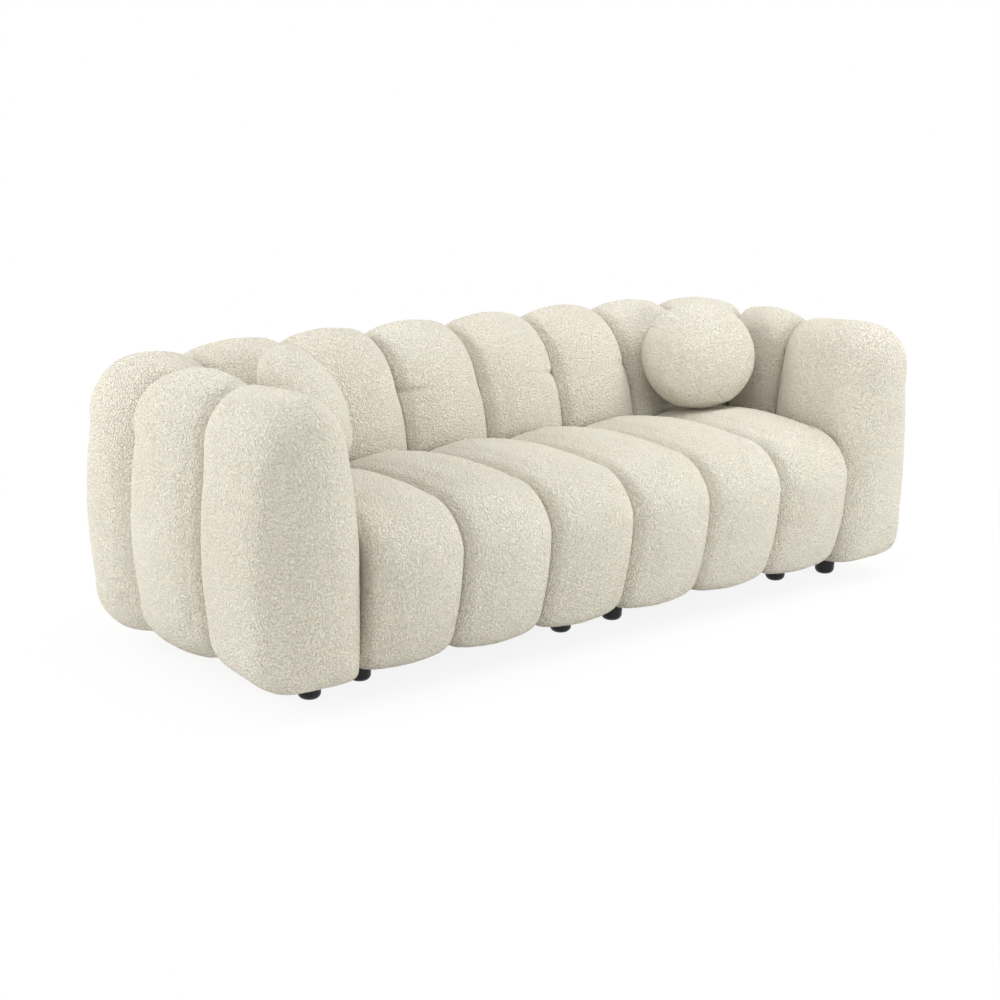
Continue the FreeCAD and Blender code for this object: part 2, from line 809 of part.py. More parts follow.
def right_half():
    """Every node of the right half, as lists of solids."""
    hollow = wall_hollow()
    ties = tie_holes(back_inner_y, upper_inner[1] + overcut)
    nodes = {}
    for name, channel in wall_channels().items():
        tools = hollow + (ties if name.startswith("back") else [])
        nodes[name] = [cut_all(channel, tools)]
    seat = seat_channels()
    for name, channel in seat.items():
        nodes[name] = [channel]
    last = seat_channels_per_side
    corner_names = (f"back_channel_{last}", "corner_channel", "arm_channel")
    wall = Part.makeCompound([nodes[name][0] for name in corner_names])
    nodes.update(ball_cushion(Part.makeCompound(list(seat.values())), wall))
    nodes.update(wall_frame())
    nodes.update(seat_frame())
    nodes["front_feet"] = [foot(p) for p in [wall_front_foot] + seat_feet_front]
    nodes["rear_feet"] = [foot(p) for p in wall_rear_feet + seat_feet_rear]
    return nodes


def mirrored(solids):
    return [solid.mirror(Vector(0, 0, 0), ALONG) for solid in solids]


def shared_fasteners():
    """Groups of like fasteners over the whole sofa."""
    feet = [wall_front_foot] + wall_rear_feet + seat_feet_front + seat_feet_rear
    studs = [foot_stud(p) for p in feet]
    nuts = [tee_nut(p) for p in feet]
    plates = joining_plates()
    screws = plate_screws()
    ties = [tuft_tie(x) for x in tuft_places()]
    return {
        "foot_studs": studs + mirrored(studs),
        "foot_tee_nuts": nuts + mirrored(nuts),
        "joining_plates": plates + mirrored(plates),
        "joining_plate_screws": screws + mirrored(screws),
        "centre_bolts": centre_bolts(),
        "centre_nuts": centre_nuts(),
        "tuft_ties": ties + mirrored(ties[1:]),
    }


def main():
    os.makedirs("parts", exist_ok=True)
    nodes = {}
    for name, solids in right_half().items():
        nodes[f"right_{name}"] = solids
        nodes[f"left_{name}"] = mirrored(solids)
    nodes.update(shared_fasteners())
    for name, solids in nodes.items():
        pieces = [solid for shape in solids for solid in shape.Solids]
        shape = pieces[0] if len(pieces) == 1 else Part.makeCompound(pieces)
        litres = sum(p.Volume for p in pieces) / 1e6
        print(name, len(pieces), "solids", round(litres, 3), "litres", shape.isValid())
        shape.exportStep(f"parts/{name}.step")


main()
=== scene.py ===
"""Channel-tufted three-seater sofa in cream boucle, with round cushions and short black feet."""

import json
import math

import bpy
import numpy as np
from mathutils import Matrix, Vector
from mathutils.bvhtree import BVHTree


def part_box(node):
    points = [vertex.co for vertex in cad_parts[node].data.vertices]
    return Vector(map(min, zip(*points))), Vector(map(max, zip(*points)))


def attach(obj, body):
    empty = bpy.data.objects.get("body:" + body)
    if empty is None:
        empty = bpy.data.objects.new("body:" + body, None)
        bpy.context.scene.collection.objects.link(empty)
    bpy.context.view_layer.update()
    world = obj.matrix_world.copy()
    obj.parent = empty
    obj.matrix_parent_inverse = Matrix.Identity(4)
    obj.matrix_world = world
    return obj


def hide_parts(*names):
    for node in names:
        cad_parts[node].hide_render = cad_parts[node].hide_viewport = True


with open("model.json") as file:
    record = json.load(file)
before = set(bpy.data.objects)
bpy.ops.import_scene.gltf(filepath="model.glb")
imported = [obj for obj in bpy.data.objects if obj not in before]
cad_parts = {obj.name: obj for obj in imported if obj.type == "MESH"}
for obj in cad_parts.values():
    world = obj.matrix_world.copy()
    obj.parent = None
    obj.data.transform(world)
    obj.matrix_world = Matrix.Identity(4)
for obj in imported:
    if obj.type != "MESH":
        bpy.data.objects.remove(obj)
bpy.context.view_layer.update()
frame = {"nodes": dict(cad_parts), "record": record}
nodes = frame["nodes"]

# Camera: the photograph's own view, worked out from the sofa's seams, feet and outline
IMAGE_SIZE = 1000
FOCAL_PIXELS = 1937.23
SENSOR_WIDTH = 36.0
CAMERA_PLACE = Vector((-3.39481, -3.9025, 1.48929))
CAMERA_YAW = math.radians(40.38)
CAMERA_PITCH = math.radians(13.05)
CAMERA_ROLL = math.radians(0.70)

# Padding: fineness of the cloth, how it starts and how far it may swell
CHANNEL_FINENESS = 0.012
CUSHION_FINENESS = 0.008
START_SMALLER = 0.003
CHANNEL_SWELL = 0.006
CUSHION_SWELL = 0.008
SHARE_OF_ROOM = 0.42
SEWN_UP_TO = 0.004
FREE_FROM = 0.035
PADDING_FRAMES = 20
PADDING_PRESSURE = 80.0
EVEN_STEPS = 3
NOSE_EVEN_STEPS = 16
CHANNEL_LEAST = 0.001
NOSE_LEAST = -0.012
CUSHION_LEAST = 0.0045
MOST_FILLING_OUT = 0.02
HAND_WAVE_SIZE = 0.11
HAND_WAVE_DEPTH = 0.003
NUB_SIZE = 0.016
NUB_DEPTH = 0.0012
WELD_DISTANCE = 0.00001
LEAST_WEIGHT = 0.01
LEAST_LENGTH = 1e-9
CHANNEL_FILL = 0.85
CUSHION_FILL = 0.9

# Foam in the seat
FOAM_EDGE_RADIUS = 0.06
FOAM_EDGE_STEPS = 6

# Cloth under the seat
DUST_CLOTH_CELLS = (130, 64)
DUST_CLOTH_GAP = 0.0002
DUST_CLOTH_SAG = 0.003
DUST_CLOTH_THICKNESS = 0.0006
FOOT_SPREAD = 0.08
FOOT_HOLE_RADIUS = 0.036

# Sofa lines that the sewn details follow
CHANNEL_PITCH = 0.28
TUFT_HEIGHT = 0.592
TUFT_REAR_LIMIT = 0.30
TUFT_REACH = 0.035
TUFT_RISE = 0.030
TUFT_DEPTH = 0.006
CREASE_SLOPE = 0.12
CREASE_WIDTH = 0.009
CREASE_LENGTH = 0.070
CREASE_DEPTH = 0.011
NOTCH_DEPTH = 0.005
SEAM_OVERLAP = 0.002
SIDES = ("right", "left")
MIRROR = Matrix.Scale(-1.0, 4, Vector((1.0, 0.0, 0.0)))
ONE_CHANNEL_ON = Matrix.Translation(Vector((CHANNEL_PITCH, 0.0, 0.0)))

# Looped cloth
LOOP_SCALE = 220.0
LOOP_WANDER = 0.010
FUZZ_SHARE = 0.25
PILE_MIDDLE = 0.9
PILE_HEIGHT = 0.0060

# Room round the sofa
CAMERA_REACH = 100.0
FLOOR_SIZE = 40.0
WHITE = (1.0, 1.0, 1.0, 1.0)


def add_camera():
    """Places the camera and makes it the scene's own."""
    forward = Vector((
        math.sin(CAMERA_YAW) * math.cos(CAMERA_PITCH),
        math.cos(CAMERA_YAW) * math.cos(CAMERA_PITCH),
        -math.sin(CAMERA_PITCH),
    ))
    level_right = Vector((math.cos(CAMERA_YAW), -math.sin(CAMERA_YAW), 0.0))
    level_up = level_right.cross(forward)
    right = level_right * math.cos(CAMERA_ROLL) + level_up * math.sin(CAMERA_ROLL)
    up = level_up * math.cos(CAMERA_ROLL) - level_right * math.sin(CAMERA_ROLL)
    turn = Matrix((right, up, -forward)).transposed().to_4x4()
    lens = bpy.data.cameras.new("photo_camera")
    lens.sensor_width = SENSOR_WIDTH
    lens.lens = FOCAL_PIXELS / IMAGE_SIZE * SENSOR_WIDTH
    lens.clip_end = CAMERA_REACH
    camera = bpy.data.objects.new("photo_camera", lens)
    bpy.context.scene.collection.objects.link(camera)
    camera.matrix_world = Matrix.Translation(CAMERA_PLACE) @ turn
    bpy.context.scene.camera = camera


def new_material(name):
    """An empty node material, its tree and its main shader."""
    material = bpy.data.materials.new(name)
    material.use_nodes = True
    tree = material.node_tree
    return material, tree, tree.nodes["Principled BSDF"]


def object_noise(tree, scale, detail):
    """Noise in the object's own coordinates."""
    place = tree.nodes.new("ShaderNodeTexCoord")
    noise = tree.nodes.new("ShaderNodeTexNoise")
    noise.inputs["Scale"].default_value = scale
    noise.inputs["Detail"].default_value = detail
    tree.links.new(place.outputs["Object"], noise.inputs["Vector"])
    return noise


def ramp(tree, source, stops):
    """Colour ramp over a value, from (position, colour) stops."""
    node = tree.nodes.new("ShaderNodeValToRGB")
    while len(node.color_ramp.elements) < len(stops):
        node.color_ramp.elements.new(0.5)
    for element, (position, colour) in zip(node.color_ramp.elements, stops):
        element.position = position
        element.color = (*colour, 1.0)
    tree.links.new(source, node.inputs["Fac"])
    return node.outputs["Color"]


def math_node(tree, operation, first, second):
    """Sum, product or the like of two values; the second may be a number."""
    node = tree.nodes.new("ShaderNodeMath")
    node.operation = operation
    tree.links.new(first, node.inputs[0])
    if isinstance(second, (int, float)):
        node.inputs[1].default_value = second
    else:
        tree.links.new(second, node.inputs[1])
    return node.outputs[0]


def add_bump(tree, shader, height, strength, distance):
    """Relief on a shader from a height value."""
    bump = tree.nodes.new("ShaderNodeBump")
    bump.inputs["Strength"].default_value = strength
    bump.inputs["Distance"].default_value = distance
    tree.links.new(height, bump.inputs["Height"])
    tree.links.new(bump.outputs["Normal"], shader.inputs["Normal"])


def seen_directly(tree):
    """1 for rays that show the background: from the camera, or by gloss or glass."""
    path = tree.nodes.new("ShaderNodeLightPath")
    seen = math_node(tree, "MAXIMUM", path.outputs["Is Camera Ray"], path.outputs["Is Glossy Ray"])
    return math_node(tree, "MAXIMUM", seen, path.outputs["Is Transmission Ray"])


def blend_shaders(tree, share, first, second, output):
    """Mixes two shaders into an output node; a share of 1 shows the second."""
    blend = tree.nodes.new("ShaderNodeMixShader")
    tree.links.new(share, blend.inputs["Fac"])
    tree.links.new(first, blend.inputs[1])
    tree.links.new(second, blend.inputs[2])
    tree.links.new(blend.outputs["Shader"], tree.nodes[output].inputs["Surface"])


def boucle_cloth():
    """Cream looped yarn: curly ridges a few millimetres wide, with painted shade, warmer and darker, in
    the hollows between them.
    """
    material, tree, shader = new_material("cream_boucle")
    place = tree.nodes.new("ShaderNodeTexCoord")
    wander = object_noise(tree, scale=135.0, detail=1.0)
    curl = tree.nodes.new("ShaderNodeVectorMath")
    curl.operation = "MULTIPLY_ADD"
    curl.inputs[1].default_value = (LOOP_WANDER, LOOP_WANDER, LOOP_WANDER)
    tree.links.new(wander.outputs["Color"], curl.inputs[0])
    tree.links.new(place.outputs["Object"], curl.inputs[2])
    loops = tree.nodes.new("ShaderNodeTexVoronoi")
    loops.feature = "SMOOTH_F1"
    loops.inputs["Scale"].default_value = LOOP_SCALE
    loops.inputs["Smoothness"].default_value = 0.25
    tree.links.new(curl.outputs["Vector"], loops.inputs["Vector"])
    fuzz = object_noise(tree, scale=420.0, detail=1.0)
    drift = object_noise(tree, scale=3.2, detail=2.0)
    pile = math_node(tree, "MULTIPLY", loops.outputs["Distance"], -1.0)
    pile = math_node(tree, "ADD", pile, math_node(tree, "MULTIPLY", fuzz.outputs["Fac"], FUZZ_SHARE))
    # Painted shade: the colour turns darker and warmer where the pile is low, in the hollows between the
    # loops.
    yarn = ramp(tree, math_node(tree, "ADD", pile, PILE_MIDDLE), [
        (0.25, (0.733, 0.675, 0.555)),
        (0.60, (0.803, 0.765, 0.666)),
        (0.90, (0.822, 0.788, 0.696)),
    ])
    tint = ramp(tree, drift.outputs["Fac"], [(0.35, (0.965, 0.955, 0.935)), (0.65, (1.0, 1.0, 1.0))])
    mix = tree.nodes.new("ShaderNodeMix")
    mix.data_type = "RGBA"
    mix.blend_type = "MULTIPLY"
    mix.inputs["Factor"].default_value = 1.0
    tree.links.new(yarn, mix.inputs["A"])
    tree.links.new(tint, mix.inputs["B"])
    tree.links.new(mix.outputs["Result"], shader.inputs["Base Color"])
    shader.inputs["Roughness"].default_value = 0.95
    shader.inputs["Specular IOR Level"].default_value = 0.15
    shader.inputs["Sheen Weight"].default_value = 0.15
    shader.inputs["Sheen Roughness"].default_value = 0.6
    add_bump(tree, shader, pile, strength=1.0, distance=PILE_HEIGHT)
    return material


def satin_black():
    """Black lacquer on the feet, with faint brush unevenness."""
    material, tree, shader = new_material("satin_black_lacquer")
    grain = object_noise(tree, scale=90.0, detail=3.0)
    tone = ramp(tree, grain.outputs["Fac"], [(0.35, (0.006, 0.006, 0.006)), (0.7, (0.012, 0.011, 0.011))])
    tree.links.new(tone, shader.inputs["Base Color"])
    shader.inputs["Specular IOR Level"].default_value = 0.3
    gloss = ramp(tree, grain.outputs["Fac"], [(0.3, (0.30, 0.30, 0.30)), (0.7, (0.40, 0.40, 0.40))])
    tree.links.new(gloss, shader.inputs["Roughness"])
    add_bump(tree, shader, grain.outputs["Fac"], strength=0.1, distance=0.0005)
    return material


def grained_wood(name, pale, dark, bands):
    """Timber or board with long grain along the sofa."""
    material, tree, shader = new_material(name)
    place = tree.nodes.new("ShaderNodeTexCoord")
    stretch = tree.nodes.new("ShaderNodeMapping")
    stretch.inputs["Scale"].default_value = (0.12, 1.0, 1.0)
    grain = tree.nodes.new("ShaderNodeTexWave")
    grain.inputs["Scale"].default_value = bands
    grain.inputs["Distortion"].default_value = 4.0
    grain.inputs["Detail"].default_value = 3.0
    tree.links.new(place.outputs["Object"], stretch.inputs["Vector"])
    tree.links.new(stretch.outputs["Vector"], grain.inputs["Vector"])
    tone = ramp(tree, grain.outputs["Fac"], [(0.1, dark), (0.8, pale)])
    tree.links.new(tone, shader.inputs["Base Color"])
    shader.inputs["Roughness"].default_value = 0.7
    add_bump(tree, shader, grain.outputs["Fac"], strength=0.2, distance=0.0006)
    return material


def zinc_plate():
    """Zinc-plated steel with its faint clouded finish."""
    material, tree, shader = new_material("zinc_plated_steel")
    cloud = object_noise(tree, scale=120.0, detail=4.0)
    tone = ramp(tree, cloud.outputs["Fac"], [(0.3, (0.52, 0.53, 0.54)), (0.7, (0.68, 0.69, 0.70))])
    tree.links.new(tone, shader.inputs["Base Color"])
    shader.inputs["Metallic"].default_value = 1.0
    rough = ramp(tree, cloud.outputs["Fac"], [(0.3, (0.28, 0.28, 0.28)), (0.7, (0.42, 0.42, 0.42))])
    tree.links.new(rough, shader.inputs["Roughness"])
    return material


def woven_cloth(name, pale, dark, threads, roughness=0.9):
    """Plain weave for straps, twine and the cloth under the seat."""
    material, tree, shader = new_material(name)
    place = tree.nodes.new("ShaderNodeTexCoord")
    waves = []
    for direction in ("X", "Y"):
        wave = tree.nodes.new("ShaderNodeTexWave")
        wave.bands_direction = direction
        wave.inputs["Scale"].default_value = threads
        wave.inputs["Distortion"].default_value = 0.6
        tree.links.new(place.outputs["Object"], wave.inputs["Vector"])
        waves.append(wave.outputs["Fac"])
    weave = math_node(tree, "MULTIPLY", waves[0], waves[1])
    tone = ramp(tree, weave, [(0.1, dark), (0.7, pale)])
    tree.links.new(tone, shader.inputs["Base Color"])
    shader.inputs["Roughness"].default_value = roughness
    add_bump(tree, shader, weave, strength=0.4, distance=0.0008)
    return material


def foam_cells():
    """Cut foam with fine open cells."""
    material, tree, shader = new_material("seat_foam_cells")
    cells = object_noise(tree, scale=400.0, detail=2.0)
    tone = ramp(tree, cells.outputs["Fac"], [(0.35, (0.70, 0.62, 0.40)), (0.65, (0.83, 0.76, 0.55))])
    tree.links.new(tone, shader.inputs["Base Color"])
    shader.inputs["Roughness"].default_value = 1.0
    add_bump(tree, shader, cells.outputs["Fac"], strength=0.5, distance=0.001)
    return material


def finishes():
    """Materials by slot; the cushions' filling is never seen and needs none."""
    return {
        "boucle": boucle_cloth(),
        "foot_black": satin_black(),
        "timber": grained_wood(
            "planed_softwood", pale=(0.60, 0.42, 0.24), dark=(0.44, 0.28, 0.14), bands=60.0),
        "plywood": grained_wood(
            "raw_plywood", pale=(0.66, 0.50, 0.32), dark=(0.52, 0.37, 0.21), bands=35.0),
        "zinc_steel": zinc_plate(),
        "webbing": woven_cloth(
            "woven_webbing", pale=(0.34, 0.24, 0.14), dark=(0.16, 0.11, 0.06), threads=140.0),
        "dust_cloth": woven_cloth(
            "black_dust_cloth", pale=(0.025, 0.025, 0.025), dark=(0.010, 0.010, 0.010), threads=300.0),
        "twine": woven_cloth(
            "waxed_twine", pale=(0.50, 0.42, 0.30), dark=(0.32, 0.26, 0.17), threads=600.0, roughness=0.6),
        "seat_foam": foam_cells(),
    }


def dress_frame_nodes(looks):
    """Gives every node that stays its slot's material."""
    for row in frame["record"]["subparts"]:
        look = looks.get(row["material_slot"])
        mesh = nodes[row["node"]].data
        if look is not None:
            mesh.materials.clear()
            mesh.materials.append(look)


def only(piece):
    """Selects one piece and makes it active."""
    bpy.ops.object.select_all(action="DESELECT")
    piece.select_set(True)
    bpy.context.view_layer.objects.active = piece


def points_of(mesh):
    """Places of a mesh's points, one row each."""
    flat = np.empty(len(mesh.vertices) * 3)
    mesh.vertices.foreach_get("co", flat)
    return flat.reshape(-1, 3)


def normals_of(mesh):
    """Outward directions at a mesh's points, one row each."""
    flat = np.empty(len(mesh.vertices) * 3)
    mesh.vertex_normals.foreach_get("vector", flat)
    return flat.reshape(-1, 3)


def set_points(mesh, points):
    mesh.vertices.foreach_set("co", points.ravel())
    mesh.update()


def smooth_step(value, low, high):
    """0 up to low, 1 from high, and a smooth rise between."""
    share = np.clip((value - low) / (high - low), 0.0, 1.0)
    return share * share * (3.0 - 2.0 * share)


def cloth_from(node, name, fineness):
    """A new piece with the node's form in an even cloth mesh."""
    piece = bpy.data.objects.new(name, nodes[node].data.copy())
    bpy.context.scene.collection.objects.link(piece)
    piece.data.materials.clear()
    only(piece)
    bpy.ops.object.mode_set(mode="EDIT")
    bpy.ops.mesh.select_all(action="SELECT")
    bpy.ops.mesh.remove_doubles(threshold=WELD_DISTANCE)
    bpy.ops.object.mode_set(mode="OBJECT")
    piece.data.remesh_voxel_size = fineness
    piece.data.remesh_voxel_adaptivity = 0.0
    bpy.ops.object.voxel_remesh()
    return piece


def search_tree(names):
    """Search tree over the surfaces of these nodes."""
    corners, faces = [], []
    for name in names:
        mesh = nodes[name].data
        start = len(corners)
        corners.extend(points_of(mesh).tolist())
        faces.extend([[start + v for v in face.vertices] for face in mesh.polygons])
    return BVHTree.FromPolygons(corners, faces)


def neighbours_of(own_nodes):
    """Search tree over every other solid of the sofa."""
    return search_tree([name for name in nodes if name not in own_nodes])


def room_around(points, neighbours):
    """Distance from each point to the nearest other solid."""
    return np.array([neighbours.find_nearest(p)[3] for p in points.tolist()])


def weigh_points(piece, group_name, weights):
    """Vertex group with a weight for each point that has more than next to none."""
    group = piece.vertex_groups.new(name=group_name)
    for index in np.nonzero(weights > LEAST_WEIGHT)[0].tolist():
        group.add([index], float(weights[index]), "REPLACE")


def pump_up(piece, room):
    """Fills the cloth with air while its sewn edges stay where they are."""
    weigh_points(piece, "sewn", 1.0 - smooth_step(room, SEWN_UP_TO, FREE_FROM))
    cloth = piece.modifiers.new("padding", "CLOTH")
    cloth.settings.quality = 4
    cloth.settings.mass = 0.2
    cloth.settings.tension_stiffness = 5.0
    cloth.settings.compression_stiffness = 5.0
    cloth.settings.shear_stiffness = 2.5
    cloth.settings.bending_stiffness = 0.5
    cloth.settings.use_pressure = True
    cloth.settings.uniform_pressure_force = PADDING_PRESSURE
    cloth.settings.vertex_group_mass = "sewn"
    cloth.settings.effector_weights.gravity = 0.0
    cloth.collision_settings.use_collision = False
    cloth.point_cache.frame_start = 1
    cloth.point_cache.frame_end = PADDING_FRAMES
    only(piece)
    for step in range(1, PADDING_FRAMES + 1):
        bpy.context.scene.frame_set(step)
    bpy.ops.object.modifier_apply(modifier=cloth.name)
    bpy.context.scene.frame_set(1)
    piece.vertex_groups.clear()


def apply_modifier(piece, name, kind, **values):
    """Adds a modifier with these values and applies it."""
    modifier = piece.modifiers.new(name, kind)
    for key, value in values.items():
        setattr(modifier, key, value)
    only(piece)
    bpy.ops.object.modifier_apply(modifier=modifier.name)


def cloud_pattern(name, size):
    """Soft random hills of one size."""
    pattern = bpy.data.textures.new(name, "CLOUDS")
    pattern.noise_scale = size
    return pattern


def stuff(piece, neighbours, swell, even_steps):
    """Swells a cloth piece within the room that its neighbours leave, then smooths and refines it."""
    shape = points_of(piece.data)
    room = room_around(shape, neighbours)
    free = smooth_step(room, SEWN_UP_TO, FREE_FROM)
    start = shape - normals_of(piece.data) * (START_SMALLER * free)[:, None]
    set_points(piece.data, start)
    pump_up(piece, room)
    moved = points_of(piece.data) - start
    length = np.linalg.norm(moved, axis=1)
    most = (np.minimum(swell, SHARE_OF_ROOM * room) + START_SMALLER * free) * free
    share = np.minimum(1.0, most / np.maximum(length, LEAST_LENGTH))
    set_points(piece.data, start + moved * share[:, None])
    weigh_points(piece, "free_cloth", free)
    apply_modifier(piece, "even", "SMOOTH", factor=0.5, iterations=even_steps, vertex_group="free_cloth")
    piece.vertex_groups.clear()
    apply_modifier(piece, "refine", "SUBSURF", levels=1, render_levels=1)


def fill_out(piece, node, neighbours, least):
    """Brings cloth that has sunk below its solid's surface back out to it, or a little beyond."""
    solid = search_tree([node])
    points = points_of(piece.data)
    out = normals_of(piece.data)
    free = smooth_step(room_around(points, neighbours), SEWN_UP_TO, FREE_FROM)
    depth = np.empty(len(points))
    for index, point in enumerate(points.tolist()):
        place, normal, _, _ = solid.find_nearest(point)
        depth[index] = (Vector(point) - place).dot(normal)
    push = np.clip(least - depth, 0.0, MOST_FILLING_OUT) * free
    set_points(piece.data, points + out * push[:, None])


def roughen(piece, neighbours):
    """Small hand-sewn unevenness and nubs of yarn, only where the cloth is free."""
    room = room_around(points_of(piece.data), neighbours)
    weigh_points(piece, "free_cloth", smooth_step(room, SEWN_UP_TO, FREE_FROM))
    patterns = (("hand_wave", HAND_WAVE_SIZE, HAND_WAVE_DEPTH), ("nubs", NUB_SIZE, NUB_DEPTH))
    for name, size, depth in patterns:
        apply_modifier(piece, name, "DISPLACE", texture=cloud_pattern(name, size), strength=depth,
                       mid_level=0.5, texture_coords="LOCAL", vertex_group="free_cloth")
    piece.vertex_groups.clear()


def finish_soft(piece, body, look, fill, *replaced):
    """Smooth shading, finish and body of one padded piece; hides the nodes it replaces."""
    piece.data.materials.clear()
    piece.data.materials.append(look)
    only(piece)
    bpy.ops.object.shade_smooth()
    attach(piece, body)
    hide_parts(*replaced)


def copy_moved(piece, name, move):
    """A copy with its own mesh, moved or mirrored."""
    twin = bpy.data.objects.new(name, piece.data.copy())
    bpy.context.scene.collection.objects.link(twin)
    twin.data.transform(move)
    if move.determinant() < 0:
        twin.data.flip_normals()
    return twin


def pad(part, even_steps=EVEN_STEPS, least=CHANNEL_LEAST):
    """One channel of the right half: cloth mesh, stuffed, filled out and roughened."""
    node = f"right_{part}"
    neighbours = neighbours_of([node])
    piece = cloth_from(node, node.replace("channel", "pad"), CHANNEL_FINENESS)
    stuff(piece, neighbours, CHANNEL_SWELL, even_steps)
    fill_out(piece, node, neighbours, least)
    roughen(piece, neighbours)
    return piece


def pull_tuft(piece, seam_x, towards, crease_depth=0.0):
    """Draws the cloth in beside a tie on a back seam, with a short crease into the channel."""
    points = points_of(piece.data)
    across = (points[:, 0] - seam_x) * towards
    above = points[:, 2] - TUFT_HEIGHT
    facing = (points[:, 1] < TUFT_REAR_LIMIT) & (across > -SEAM_OVERLAP)
    dimple = np.exp(-(across / TUFT_REACH) ** 2 - (above / TUFT_RISE) ** 2)
    slope_line = above - CREASE_SLOPE * across
    crease = np.exp(-(slope_line / CREASE_WIDTH) ** 2 - (across / CREASE_LENGTH) ** 2)
    points[:, 1] += (TUFT_DEPTH * dimple + crease_depth * crease) * facing
    set_points(piece.data, points)


def back_pads():
    """Back channels of the right half; the two nearest the middle are alike and are made once."""
    first = pad("back_channel_1")
    second = copy_moved(first, "right_back_pad_2", ONE_CHANNEL_ON)
    third = pad("back_channel_3")
    pull_tuft(first, seam_x=0.0, towards=1.0)
    pull_tuft(first, seam_x=CHANNEL_PITCH, towards=-1.0, crease_depth=CREASE_DEPTH)
    pull_tuft(second, seam_x=CHANNEL_PITCH, towards=1.0)
    pull_tuft(second, seam_x=2 * CHANNEL_PITCH, towards=-1.0, crease_depth=NOTCH_DEPTH)
    pull_tuft(third, seam_x=2 * CHANNEL_PITCH, towards=1.0)
    return {"back_channel_1": first, "back_channel_2": second, "back_channel_3": third}


def seat_pads():
    """Seat channels of the right half; the two nearest the middle are alike and are made once."""
    first = pad("seat_channel_1")
    second = copy_moved(first, "right_seat_pad_2", ONE_CHANNEL_ON)
    return {"seat_channel_1": first, "seat_channel_2": second, "seat_channel_3": pad("seat_channel_3")}


def add_upholstery(look):
    """Every padded channel: the right half is made and the left half mirrors it."""
    pads = {**back_pads(), **seat_pads()}
    pads["corner_channel"] = pad("corner_channel")
    pads["arm_channel"] = pad("arm_channel")
    pads["arm_front_channel"] = pad("arm_front_channel", NOSE_EVEN_STEPS, NOSE_LEAST)
    for part, piece in pads.items():
        twin = copy_moved(piece, piece.name.replace("right_", "left_"), MIRROR)
        finish_soft(piece, "sofa", look, CHANNEL_FILL, f"right_{part}")
        finish_soft(twin, "sofa", look, CHANNEL_FILL, f"left_{part}")


def add_cushions(look):
    """The two round cushions, each a tight stuffed ball that its cover closes."""
    filling = "right_ball_cushion_filling"
    neighbours = neighbours_of([filling, "right_ball_cushion_cover"])
    ball = cloth_from(filling, "right_round_cushion", CUSHION_FINENESS)
    stuff(ball, neighbours, CUSHION_SWELL, EVEN_STEPS)
    fill_out(ball, filling, neighbours, CUSHION_LEAST)
    roughen(ball, neighbours)
    twin = copy_moved(ball, "left_round_cushion", MIRROR)
    for piece, side in ((ball, "right"), (twin, "left")):
        finish_soft(piece, f"{side}_cushion", look, CUSHION_FILL,
                    f"{side}_ball_cushion_cover", f"{side}_ball_cushion_filling")


def add_box_piece(name, low, high):
    """A cube primitive between two corners, with its place in its mesh."""
    bpy.ops.object.select_all(action="DESELECT")
    bpy.ops.mesh.primitive_cube_add(size=1.0)
    piece = bpy.context.active_object
    piece.name = name
    piece.data.transform(Matrix.Diagonal((*(high - low), 1.0)))
    piece.data.transform(Matrix.Translation((low + high) / 2))
    return piece


def add_foam(look):
    """Foam core of each half of the seat, with softened edges."""
    for side in SIDES:
        low, high = (Vector(corner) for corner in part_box(f"{side}_seat_foam_core"))
        piece = add_box_piece(f"{side}_seat_foam", low, high)
        apply_modifier(piece, "soft_edges", "BEVEL", width=FOAM_EDGE_RADIUS, segments=FOAM_EDGE_STEPS)
        apply_modifier(piece, "refine", "SUBSURF", levels=1, render_levels=1)
        piece.data.materials.append(look)
        only(piece)
        bpy.ops.object.shade_smooth()
        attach(piece, "sofa")
        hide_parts(f"{side}_seat_foam_core")


def foot_centres(side):
    """Plan places of the feet on one half, from the separate feet in their nodes."""
    centres = []
    for row in ("front", "rear"):
        points = points_of(nodes[f"{side}_{row}_feet"].data)[:, :2]
        while len(points):
            one_foot = np.linalg.norm(points - points[0], axis=1) < FOOT_SPREAD
            centres.append((points[one_foot].min(axis=0) + points[one_foot].max(axis=0)) / 2)
            points = points[~one_foot]
    return centres


def cut_foot_holes(piece, centres):
    """Opens the cloth round each foot."""
    only(piece)
    bpy.ops.object.mode_set(mode="EDIT")
    bpy.ops.mesh.select_all(action="DESELECT")
    bpy.ops.object.mode_set(mode="OBJECT")
    for face in piece.data.polygons:
        middle = np.array(face.center[:2])
        nearest = min(np.linalg.norm(middle - centre) for centre in centres)
        face.select = bool(nearest < FOOT_HOLE_RADIUS)
    bpy.ops.object.mode_set(mode="EDIT")
    bpy.ops.mesh.delete(type="FACE")
    bpy.ops.object.mode_set(mode="OBJECT")


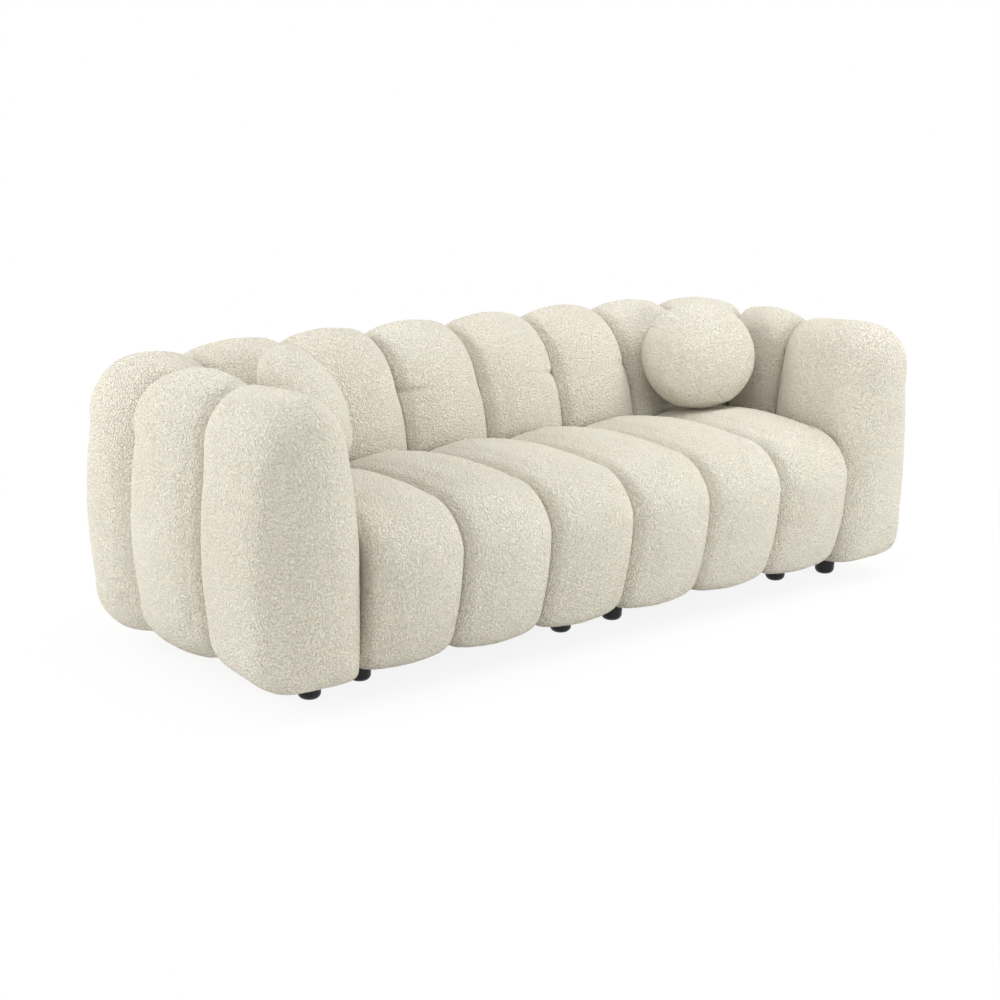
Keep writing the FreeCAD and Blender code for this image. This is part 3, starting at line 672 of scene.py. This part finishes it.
def add_dust_covers(look):
    """Thin black cloth stretched under each half of the seat, sagging a little."""
    for side in SIDES:
        low, high = (Vector(corner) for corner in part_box(f"{side}_seat_dust_cover"))
        size = high - low
        bpy.ops.object.select_all(action="DESELECT")
        cells_x, cells_y = DUST_CLOTH_CELLS
        bpy.ops.mesh.primitive_grid_add(x_subdivisions=cells_x, y_subdivisions=cells_y, size=1.0)
        piece = bpy.context.active_object
        piece.name = f"{side}_dust_cloth"
        piece.data.transform(Matrix.Diagonal((size.x, size.y, 1.0, 1.0)))
        top = high.z - DUST_CLOTH_GAP
        piece.data.transform(Matrix.Translation(((low.x + high.x) / 2, (low.y + high.y) / 2, top)))
        points = points_of(piece.data)
        share = (points[:, :2] - np.array(low[:2])) / np.array(size[:2])
        sag = np.sin(math.pi * share[:, 0]) * np.sin(math.pi * share[:, 1])
        points[:, 2] -= DUST_CLOTH_SAG * np.clip(sag, 0.0, 1.0)
        set_points(piece.data, points)
        cut_foot_holes(piece, foot_centres(side))
        apply_modifier(piece, "cloth", "SOLIDIFY", thickness=DUST_CLOTH_THICKNESS, offset=-1.0)
        piece.data.materials.append(look)
        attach(piece, "sofa")
        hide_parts(f"{side}_seat_dust_cover")


def add_floor():
    """Plain pale floor that shows nearly white and keeps a soft shadow."""
    bpy.ops.object.select_all(action="DESELECT")
    bpy.ops.mesh.primitive_plane_add(size=FLOOR_SIZE)
    floor = bpy.context.active_object
    floor.name = "studio_floor"
    material, tree, shader = new_material("pale_floor")
    shader.inputs["Base Color"].default_value = (0.82, 0.82, 0.81, 1.0)
    shader.inputs["Roughness"].default_value = 0.9
    glow = tree.nodes.new("ShaderNodeEmission")
    place = tree.nodes.new("ShaderNodeTexCoord")
    reach = tree.nodes.new("ShaderNodeVectorMath")
    reach.operation = "LENGTH"
    tree.links.new(place.outputs["Object"], reach.inputs[0])
    whiten = tree.nodes.new("ShaderNodeMapRange")
    whiten.interpolation_type = "SMOOTHSTEP"
    whiten.inputs["From Min"].default_value = 0.6
    whiten.inputs["From Max"].default_value = 2.4
    whiten.inputs["To Min"].default_value = 0.88
    whiten.inputs["To Max"].default_value = 1.0
    tree.links.new(reach.outputs["Value"], whiten.inputs["Value"])
    share = math_node(tree, "MULTIPLY", seen_directly(tree), whiten.outputs["Result"])
    blend_shaders(tree, share, shader.outputs["BSDF"], glow.outputs["Emission"], "Material Output")
    floor.data.materials.append(material)


def add_world():
    """White behind the sofa, and a plain soft light all round it."""
    world = bpy.data.worlds.new("studio")
    bpy.context.scene.world = world
    world.use_nodes = True
    tree = world.node_tree
    ambient = tree.nodes["Background"]
    ambient.inputs["Color"].default_value = WHITE
    ambient.inputs["Strength"].default_value = 0.56
    white = tree.nodes.new("ShaderNodeBackground")
    white.inputs["Color"].default_value = WHITE
    around, behind = ambient.outputs["Background"], white.outputs["Background"]
    blend_shaders(tree, seen_directly(tree), around, behind, "World Output")


def add_softbox(name, place, target, size, power):
    """A square lamp at a place, turned to a target."""
    lamp = bpy.data.lights.new(name, "AREA")
    lamp.size = size
    lamp.energy = power
    holder = bpy.data.objects.new(name, lamp)
    bpy.context.scene.collection.objects.link(holder)
    holder.location = place
    holder.rotation_euler = (Vector(target) - Vector(place)).to_track_quat("-Z", "Y").to_euler()


def add_lights():
    """Softboxes above, in front and to the right, with a pair on the left."""
    middle = (0.0, 0.0, 0.4)
    left_part = (-0.6, 0.0, 0.4)
    add_softbox("right_softbox", place=(2.6, -1.0, 3.6), target=(0.1, 0.0, 0.4), size=2.0, power=86.0)
    add_softbox("front_softbox", place=(1.4, -4.5, 1.4), target=middle, size=1.6, power=76.0)
    add_softbox("top_softbox", place=(-0.5, -0.4, 4.2), target=(-0.5, 0.0, 0.4), size=2.6, power=48.0)
    add_softbox("left_softbox", place=(-4.4, 0.6, 1.8), target=left_part, size=1.6, power=50.0)
    add_softbox("left_rear_softbox", place=(-3.4, 2.8, 2.2), target=left_part, size=1.6, power=82.0)


def main():
    """Camera, finishes, soft pieces, floor and light."""
    bpy.context.scene.view_settings.view_transform = "Standard"
    add_camera()
    looks = finishes()
    dress_frame_nodes(looks)
    add_upholstery(looks["boucle"])
    add_cushions(looks["boucle"])
    add_foam(looks["seat_foam"])
    add_dust_covers(looks["dust_cloth"])
    add_floor()
    add_world()
    add_lights()


main()
